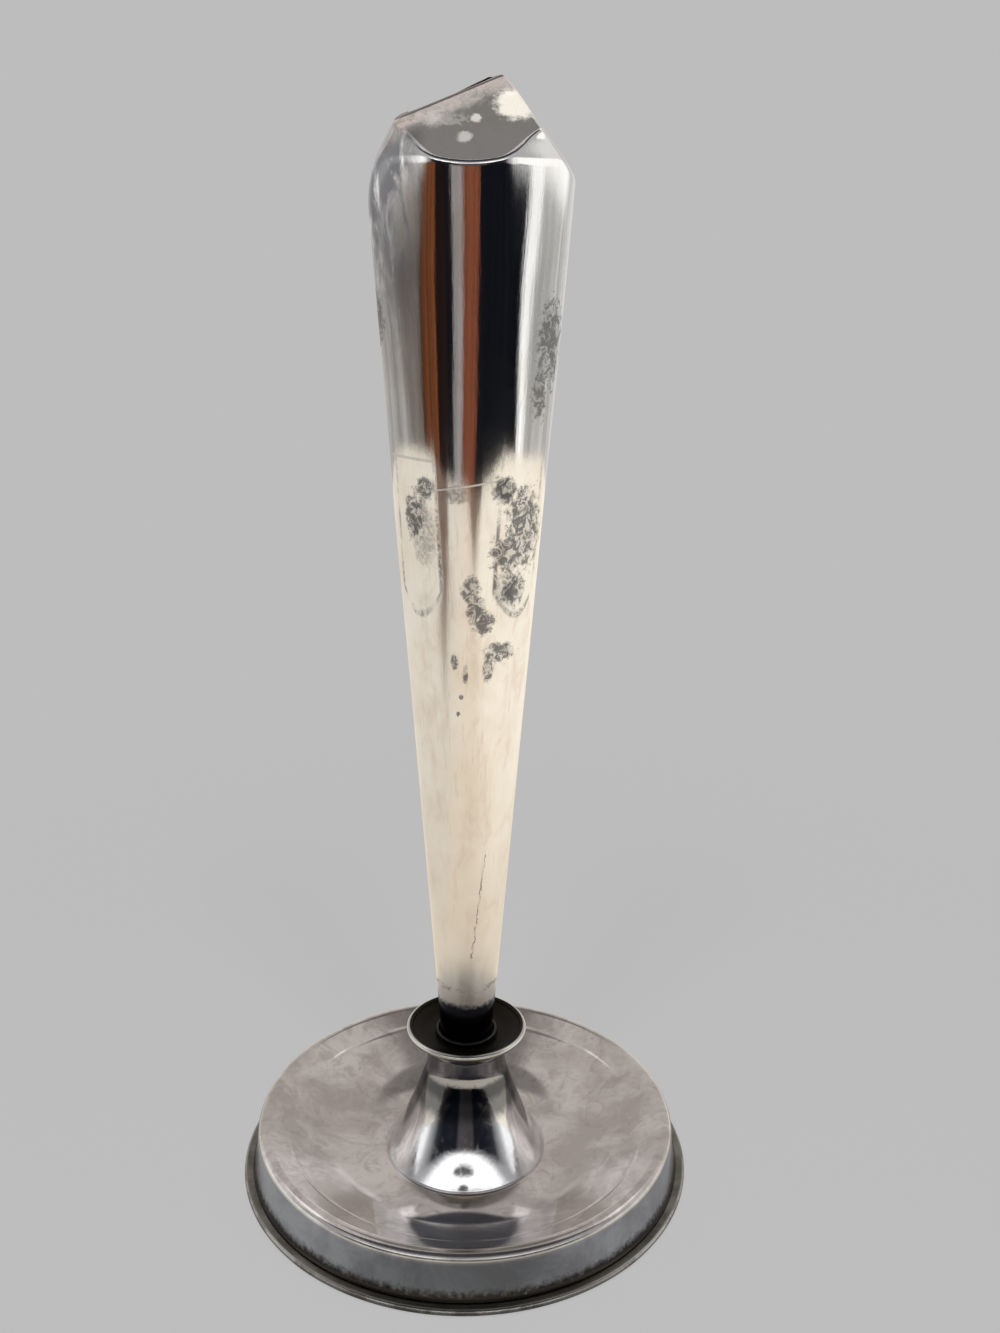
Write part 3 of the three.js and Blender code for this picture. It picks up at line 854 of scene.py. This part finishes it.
def dark_material():
    """Blackened plate of collar and base plate, with painted shade in the well of the collar."""
    material, g, place = start_material("blackened_silver_plate")
    radius, z = round_place(g, place)
    cloud = g.noise(place, 0.16, 6.0, 0.65)
    colour = g.mix(g.fade(cloud, 0.35, 0.7), BLACKENED, BLACKENED_DEEP)

    # Painted shade: the well of the collar painted black
    well = g.fade(radius, COLLAR_RADIUS - 0.5, COLLAR_RADIUS - 0.7)
    well = g.times(well, g.fade(z, COLLAR_FLOOR - 0.3, COLLAR_FLOOR - 0.1))
    colour = g.mix(well, colour, WELL_PAINTED_SHADE)

    # Rolled edge of the collar, its underside and the flange, worn lighter
    collar = g.times(g.fade(z, 20.0, 22.0), g.fade(radius, COLLAR_RADIUS + 0.6, COLLAR_RADIUS + 0.4))
    roll = g.times(collar, g.fade(radius, COLLAR_RADIUS - 0.65, COLLAR_RADIUS - 0.4))
    under = g.times(collar, g.fade(radius, COLLAR_SEAT_RADIUS - 0.2, COLLAR_SEAT_RADIUS - 0.1))
    under = g.times(under, g.fade(z, COLLAR_FLOOR + 0.6, COLLAR_FLOOR - 0.4))
    flange = g.times(g.fade(radius, FLANGE_RADIUS - 0.6, FLANGE_RADIUS - 0.2), g.fade(cloud, 0.4, 0.55))
    worn = g.most(g.most(roll, under), g.times(flange, 0.6))
    worn = g.times(worn, g.minus(1.0, well))
    colour = g.mix(worn, colour, WORN)
    rough = g.blend(worn, g.blend(g.fade(cloud, 0.3, 0.7), 0.26, 0.42), 0.16)
    end_material(g, colour, g.blend(well, rough, 0.5))
    return material


def plain_metal(name, light, dark, rough):
    """A clouded metal of two shades."""
    material, g, place = start_material(name)
    cloud = g.noise(place, 0.3, 5.0, 0.6)
    colour = g.mix(g.fade(cloud, 0.35, 0.7), light, dark)
    end_material(g, colour, g.blend(cloud, rough - 0.08, rough + 0.08))
    return material


def cement_material():
    """Rough filler that weights the foot."""
    material, g, place = start_material("cast_filler")
    grain = g.noise(place, 0.7, 6.0, 0.7)
    colour = g.mix(grain, FILLER_DARK, FILLER)
    end_material(g, colour, 0.95, 0.0, g.bump(grain, 0.5, 0.4))
    return material


def felt_material():
    """Dark felt under the foot."""
    material, g, place = start_material("dark_felt")
    fibre = g.noise(place, 2.6, 4.0, 0.7, 1.2)
    colour = g.mix(fibre, FELT_DARK, FELT)
    sheen = {"Sheen Weight": 0.4, "Sheen Roughness": 0.6}
    end_material(g, colour, 1.0, 0.0, g.bump(fibre, 0.8, 0.3), **sheen)
    return material


# Pieces

def dress(piece, material, node):
    """Give a piece its material, and say what it rides on, which node it replaces."""
    piece.data.materials.clear()
    piece.data.materials.append(material)
    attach(piece, "root")
    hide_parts(node)
    return piece


dark = dark_material()
solder = plain_metal("dull_solder", SOLDER, SOLDER_DARK, 0.38)
brass = plain_metal("turned_brass", BRASS, BRASS_DARK, 0.4)
steel = plain_metal("plain_steel", STEEL, STEEL_DARK, 0.42)

dress(make_body(), silver_material(), "vase_body")
dress(make_neck(), neck_material(), "neck_cone")
dress(make_foot(), satin_material(), "foot_dish")
dress(make_collar(), dark, "collar_dish")
dress(make_plate(), dark, "base_plate")
dress(make_bead(), solder, "stem_bead")
felt_disc = dress(make_felt(), felt_material(), "felt_pad")

for node, material in (
    ("foot_weight", cement_material()),
    ("body_plug", brass),
    ("tie_rod", steel),
    ("rod_washer", steel),
    ("rod_nut", steel),
):
    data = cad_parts[node].data
    data.materials.clear()
    data.materials.append(material)


# Colours of the stage, of the room that the plate mirrors and of a painted shadow on its table
BACKDROP = (0.508, 0.508, 0.508)
PAPER = (0.50, 0.50, 0.50)
FILL = (0.35, 0.35, 0.35)
# Painted shadow of the vase on the table that the plate mirrors
TABLE_PAINTED_SHADOW = (0.17, 0.175, 0.18)
TABLE_PAINTED_SHADOW_EDGE = (0.38, 0.38, 0.39)
CLOTH = (0.91, 0.81, 0.67)
CLOTH_RIGHT = (1.08, 1.0, 0.86)
CLOTH_LEFT = (0.84, 0.79, 0.70)
STRIP = (0.13, 0.065, 0.04)
BLACK = (0.006, 0.007, 0.010)
NAVY = (0.012, 0.014, 0.020)
NIGHT = (0.035, 0.040, 0.056)
SLATE = (0.04, 0.042, 0.05)
DUSK = (0.06, 0.065, 0.08)
SOOT = (0.020, 0.009, 0.007)
BROWN = (0.15, 0.052, 0.022)
PLANK = (0.19, 0.062, 0.034)
LENS = (0.12, 0.11, 0.10)
HOOD = (0.225, 0.218, 0.215)
PANE = (0.32, 0.30, 0.30)
GREY = (0.48, 0.48, 0.49)
PALE = (0.61, 0.585, 0.57)
BRIGHT = (0.78, 0.78, 0.78)
BEHIND = (0.80, 0.79, 0.78)
WINDOW = (1.15, 1.15, 1.15)
SHINE = (1.35, 1.35, 1.35)
WHITE = (1.7, 1.7, 1.7)


def mirrored(right, front=()):
    """Stops on both sides of those in front."""
    left = [(-azimuth, colour) for azimuth, colour in right[::-1]]
    return (*left, *front, *right)


# Azimuth and colour of what lies below eye level, ahead, above that and under the ceiling
ROOM_BELOW = (
    (-180, (0.62, 0.61, 0.60)),
    (-125, (0.40, 0.39, 0.385)),
    (-100, (0.33, 0.32, 0.315)),
    (-92, (0.25, 0.23, 0.215)),
    (-81, (0.21, 0.18, 0.16)),
    (-77, SOOT),
    (-75, BROWN),
    (-45, BROWN),
    (-42, SOOT),
    (-20, BLACK),
    (-18, PANE),
    (-8, PANE),
    (-6, PLANK),
    (10, PLANK),
    (12, BLACK),
    (81.5, BLACK),
    (84, WINDOW),
    (88.5, WINDOW),
    (91, (0.51, 0.51, 0.50)),
    (135, (0.56, 0.56, 0.56)),
    (180, BEHIND),
)
ROOM_AHEAD = mirrored(
    (
        (42, NAVY),
        (52, SLATE),
        (66, (0.5, 0.5, 0.5)),
        (74, WINDOW),
        (115, WINDOW),
        (130, (0.60, 0.60, 0.60)),
        (180, BEHIND),
    ),
    ((-16, NAVY), (-10, (0.085, 0.078, 0.080)), (14, (0.070, 0.062, 0.062)), (18, NAVY)),
)
ROOM_MIDDLE = mirrored(((86, GREY), (96, BRIGHT), (125, BRIGHT), (131, PALE), (180, PALE)))
ROOM_GLARE = mirrored(((84, DUSK), (98, SHINE), (125, SHINE), (131, PALE), (180, PALE)))

# Azimuth and height, written as a grey, at which the ceiling starts
CEILING = mirrored(((130, (0.81, 0.81, 0.81)), (140, (0.5, 0.5, 0.5)), (180, (0.5, 0.5, 0.5))))

# Heights over which one layer of the room gives way to the next
AHEAD_FROM = (-0.055, -0.015)
MIDDLE_FROM = (0.215, 0.27)
GLARE_FROM = (0.645, 0.685)

# Dark lenses in the white oval ahead: height, half width, half height
LENSES = ((0.342, 0.28, 0.031), (0.434, 0.12, 0.026))

# Brown strips on the table: azimuth, distance at which they start, spread
STRIPS = ((-43, 200.0, 0.50), (12, 310.0, 0.75))


# Stage: room, floor, lamps and camera

def make_world():
    """A plain backdrop to the camera, an even fill to the floor and a room to the plate."""
    world = bpy.data.worlds.new("studio")
    bpy.context.scene.world = world
    world.use_nodes = True
    g = Graph(world.node_tree)
    way = g.add("ShaderNodeTexCoord").outputs["Generated"]
    x, y, z = g.split(way)
    turn = g.math("ARCTAN2", x, g.times(y, -1.0))
    share = g.plus(g.math("DIVIDE", turn, 2 * math.pi), 0.5)

    # Streaked furniture below eye level
    sway = g.noise(g.join(g.times(turn, 1.5), g.times(z, 9.0)), 1.0, 3.0)
    grain = g.noise(g.join(g.times(turn, 22.0), g.times(z, 2.5)), 1.0, 5.0, 0.7)
    below = g.ramp(g.jitter(share, sway, 0.016), ROOM_BELOW)
    below = g.scaled(below, g.blend(g.fade(grain, 0.30, 0.70), 0.55, 1.45))

    # White oval with its lenses
    oval = g.spot(g.join(turn, z), (0, 0.345, 0), (1.0, 0.105, 1))
    middle = g.mix(oval, g.ramp(share, ROOM_MIDDLE), WHITE)
    for height, wide, tall in LENSES:
        middle = g.mix(g.spot(way, (-0.02, -0.92, height), (wide, 1.0, tall)), middle, LENS)

    # Ceiling, dark in front, with a round hood
    ceiling = g.mix(g.fade(y, -0.14, -0.04), NIGHT, PALE)
    hood = g.vector("MULTIPLY", g.vector("SUBTRACT", way, (0, 0.34, 0)), (3.45, 2.78, 0))
    ceiling = g.mix(g.fade(g.length(hood), 1.05, 0.95), ceiling, HOOD)

    room = g.mix(g.fade(z, *AHEAD_FROM), below, g.ramp(share, ROOM_AHEAD))
    room = g.mix(g.fade(z, *MIDDLE_FROM), room, middle)
    room = g.mix(g.fade(z, *GLARE_FROM), room, g.ramp(share, ROOM_GLARE))
    room = g.mix(g.fade(g.minus(z, g.ramp(share, CEILING)), -0.02, 0.02), room, ceiling)
    ray = g.add("ShaderNodeLightPath").outputs
    fill = g.mix(ray["Is Glossy Ray"], FILL, room)
    colour = g.mix(ray["Is Camera Ray"], fill, BACKDROP)
    background = g.add("ShaderNodeBackground", {"Color": colour, "Strength": 1.0})
    g.add("ShaderNodeOutputWorld", {0: background.outputs[0]})


def floor_material():
    """Paper to the camera, a table to the plate and nothing beyond the table."""
    material, g, place = start_material("pale_floor")
    radius, _ = round_place(g, place)
    x, y, _ = g.split(place)

    # Table, with a painted shadow about the foot, and cream with brown strips farther out
    near = g.mix(g.fade(g.math("ABSOLUTE", x), 14.0, 42.0), TABLE_PAINTED_SHADOW, TABLE_PAINTED_SHADOW_EDGE)
    cloth = g.mix(g.fade(x, 20.0, 150.0), CLOTH, CLOTH_RIGHT)
    cloth = g.mix(g.fade(x, -20.0, -150.0), cloth, CLOTH_LEFT)
    for azimuth, start, spread in STRIPS:
        along, across = turned_place(g, x, y, azimuth)
        inside = g.minus(g.times(g.minus(along, start), spread), g.math("ABSOLUTE", across))
        cloth = g.mix(g.times(g.fade(inside, 0.0, 24.0), 0.85), cloth, STRIP)
    colour = g.mix(g.fade(radius, 58.0, 70.0), near, cloth)
    table = g.add("ShaderNodeEmission", {"Color": colour, "Strength": 1.0}).outputs[0]
    clear = g.add("ShaderNodeBsdfTransparent").outputs[0]
    edge = g.minus(radius, g.math("DIVIDE", g.times(y, 145.0), radius))
    table = g.merge(g.fade(edge, 560.0, 580.0), table, clear)

    # Paper that runs into the backdrop, shaded near the foot
    paper = g.add("ShaderNodeBsdfDiffuse", {"Color": PAPER}).outputs[0]
    flat = g.add("ShaderNodeEmission", {"Color": BACKDROP, "Strength": 1.0}).outputs[0]
    ray = g.add("ShaderNodeLightPath").outputs
    seen = g.times(ray["Is Camera Ray"], g.blend(g.fade(radius, 90.0, 320.0), 0.9, 1.0))
    surface = g.merge(ray["Is Glossy Ray"], g.merge(seen, paper, flat), table)
    g.add("ShaderNodeOutputMaterial", {0: surface})
    return material


def make_floor():
    """A wide floor, part of the stage."""
    side, back = 2.0, 3.0
    mesh = bpy.data.meshes.new("floor")
    corners = [(-side, -side, 0), (side, -side, 0), (side, back, 0), (-side, back, 0)]
    mesh.from_pydata(corners, [], [(0, 1, 2, 3)])
    mesh.materials.append(floor_material())
    floor = bpy.data.objects.new("floor", mesh)
    bpy.context.scene.collection.objects.link(floor)


def make_lamp(name, azimuth):
    """A soft lamp high up that the plate doesn't mirror."""
    elevation, distance, aim = math.radians(59), 0.9, Vector((0, 0, 0.06))
    lamp = bpy.data.lights.new(name, "AREA")
    lamp.shape = "DISK"
    lamp.size = 0.12
    lamp.energy = 3.6
    holder = bpy.data.objects.new(name, lamp)
    ex, ey = heading(azimuth)
    away = Vector((ex * math.cos(elevation), ey * math.cos(elevation), math.sin(elevation)))
    holder.location = aim + away * distance
    holder.rotation_euler = away.to_track_quat("Z", "Y").to_euler()
    holder.visible_glossy = False
    bpy.context.scene.collection.objects.link(holder)


def make_camera():
    """The photo's camera, fitted to the ellipses of foot and collar."""
    focal_pixels, photo_height, sensor = 1350, 1333, 36.0
    pitch, roll = math.radians(90 - 17.69), math.radians(0.87)
    place = Vector((5.587, -233.68, 179.68)) * MM
    data = bpy.data.cameras.new("camera")
    data.sensor_fit = "VERTICAL"
    data.sensor_height = sensor
    data.sensor_width = sensor
    data.lens = sensor * focal_pixels / photo_height
    data.clip_start = 0.01
    camera = bpy.data.objects.new("camera", data)
    turn = Matrix.Rotation(pitch, 4, "X") @ Matrix.Rotation(roll, 4, "Z")
    camera.matrix_world = Matrix.Translation(place) @ turn
    bpy.context.scene.collection.objects.link(camera)
    bpy.context.scene.camera = camera


make_world()
make_floor()
make_lamp("key_left", -25)
make_lamp("key_right", 25)
make_camera()
bpy.context.scene.view_settings.view_transform = "Standard"
